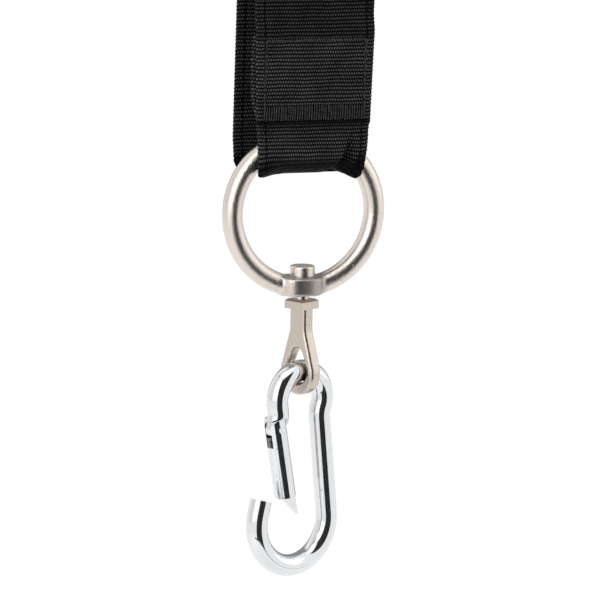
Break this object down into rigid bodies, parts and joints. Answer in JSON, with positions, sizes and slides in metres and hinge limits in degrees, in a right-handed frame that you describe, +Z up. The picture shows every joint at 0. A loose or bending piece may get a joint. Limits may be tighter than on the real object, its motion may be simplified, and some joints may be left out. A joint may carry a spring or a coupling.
{
  "type": "webbing lanyard with swivel spring hook",
  "caption": "Sewn loop of black ribbed webbing holding a round ring, with a swivel eye in the ring's boss and a spring hook with a sprung gate hanging in the eye.",
  "frame": {"origin": "where the loop hangs: the middle of the inside of the webbing loop's top bend", "axes": "+Z up along the hanging loop, X across the webbing's width and in the plane of the ring, -Y the front with the sewn lap"},
  "size_m": [0.0542, 0.0272, 0.2835],
  "materials": {
    "webbing": "ribbed woven polyamide, matt black",
    "thread": "black sewing thread",
    "nickel": "satin nickel plate",
    "zinc": "bright zinc plate",
    "steel": "drawn spring steel"
  },
  "bodies": {
    "loop": {"webbing": "webbing", "bar_tack": "thread", "box_stitching": "thread"},
    "ring": {"ring": "nickel"},
    "swivel": {"swivel_pin": "nickel", "swivel_eye": "nickel"},
    "hook": {"hook_body": "zinc"},
    "gate": {"gate": "zinc", "gate_rivet": "zinc", "gate_spring": "steel"},
    "plunger": {"gate_plunger": "steel"}
  },
  "joints": [
    {"name": "ring_swing", "type": "hinge", "parent": "loop", "child": "ring", "pos_m": [0, 0, -0.14729], "axis": [1, 0, 0], "range_deg": [-20, 20]},
    {"name": "swivel_turn", "type": "hinge", "parent": "ring", "child": "swivel", "pos_m": [0, 0, -0.18507], "axis": [0, 0, 1], "continuous": true},
    {"name": "hook_swing", "type": "hinge", "parent": "swivel", "child": "hook", "pos_m": [0, 0, -0.21552], "axis": [0.9397, 0.342, 0], "range_deg": [-100, 100]},
    {"name": "gate_open", "type": "hinge", "parent": "hook", "child": "gate", "pos_m": [-0.00918, -0.00334, -0.23324], "axis": [0.342, -0.9397, 0], "range_deg": [-25, 16], "stiffness_Nm_per_rad": 0.01, "springref_deg": -36.46},
    {"name": "plunger_slide", "type": "slide", "parent": "gate", "child": "plunger", "axis": [0.1841, 0.067, -0.9806], "range_m": [-0.0003948, 0.0002527], "deforming": ["gate_spring"]}
  ],
  "couplings": [
    {"joint": "plunger_slide", "follows": "gate_open", "m_per_rad": 0.0008871}
  ]
}
